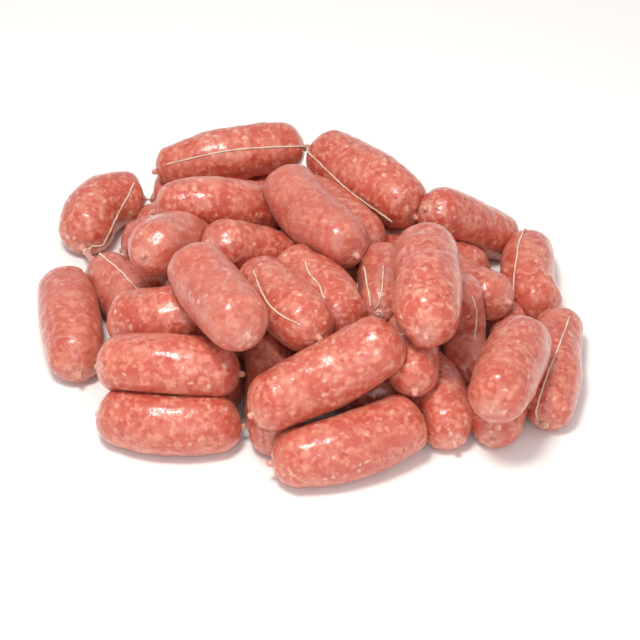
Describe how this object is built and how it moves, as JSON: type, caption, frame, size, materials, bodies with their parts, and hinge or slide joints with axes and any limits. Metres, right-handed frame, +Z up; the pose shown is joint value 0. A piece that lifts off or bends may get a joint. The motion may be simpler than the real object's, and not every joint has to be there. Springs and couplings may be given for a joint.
{
  "type": "string of sausage links",
  "caption": "Heap of fresh pork sausage links joined by pinched necks and tied with thin cotton twine.",
  "frame": {"origin": "middle of the heap's bounding box, on the surface it lies on", "axes": "+X to the right across the heap, +Y towards its back, +Z up"},
  "size_m": [0.3396, 0.2976, 0.0987],
  "materials": {
    "sausage": "moist natural casing over coarse pork with pale flecks of fat",
    "twine": "undyed twisted cotton, matt"
  },
  "bodies": {
    "root": {"link_01": "sausage", "link_02": "sausage", "link_03": "sausage", "link_04": "sausage", "link_05": "sausage", "link_06": "sausage", "link_07": "sausage", "link_08": "sausage", "link_09": "sausage", "link_10": "sausage", "link_11": "sausage", "link_12": "sausage", "link_13": "sausage", "link_14": "sausage", "link_15": "sausage", "link_16": "sausage", "link_17": "sausage", "link_18": "sausage", "link_19": "sausage", "link_20": "sausage", "link_21": "sausage", "link_22": "sausage", "link_23": "sausage", "link_24": "sausage", "link_25": "sausage", "link_26": "sausage", "link_27": "sausage", "link_28": "sausage", "link_29": "sausage", "link_30": "sausage", "link_31": "sausage", "link_32": "sausage", "twine_01": "twine", "twine_02": "twine", "twine_04": "twine", "twine_06": "twine", "twine_07": "twine", "twine_10": "twine", "twine_11": "twine", "twine_19": "twine", "twine_24": "twine", "twine_28": "twine", "twine_29": "twine", "under_01": "sausage", "under_02": "sausage", "under_03": "sausage", "under_04": "sausage", "under_05": "sausage", "under_06": "sausage", "under_07": "sausage", "under_08": "sausage", "under_09": "sausage", "under_10": "sausage", "under_11": "sausage", "under_12": "sausage"}
  },
  "joints": []
}
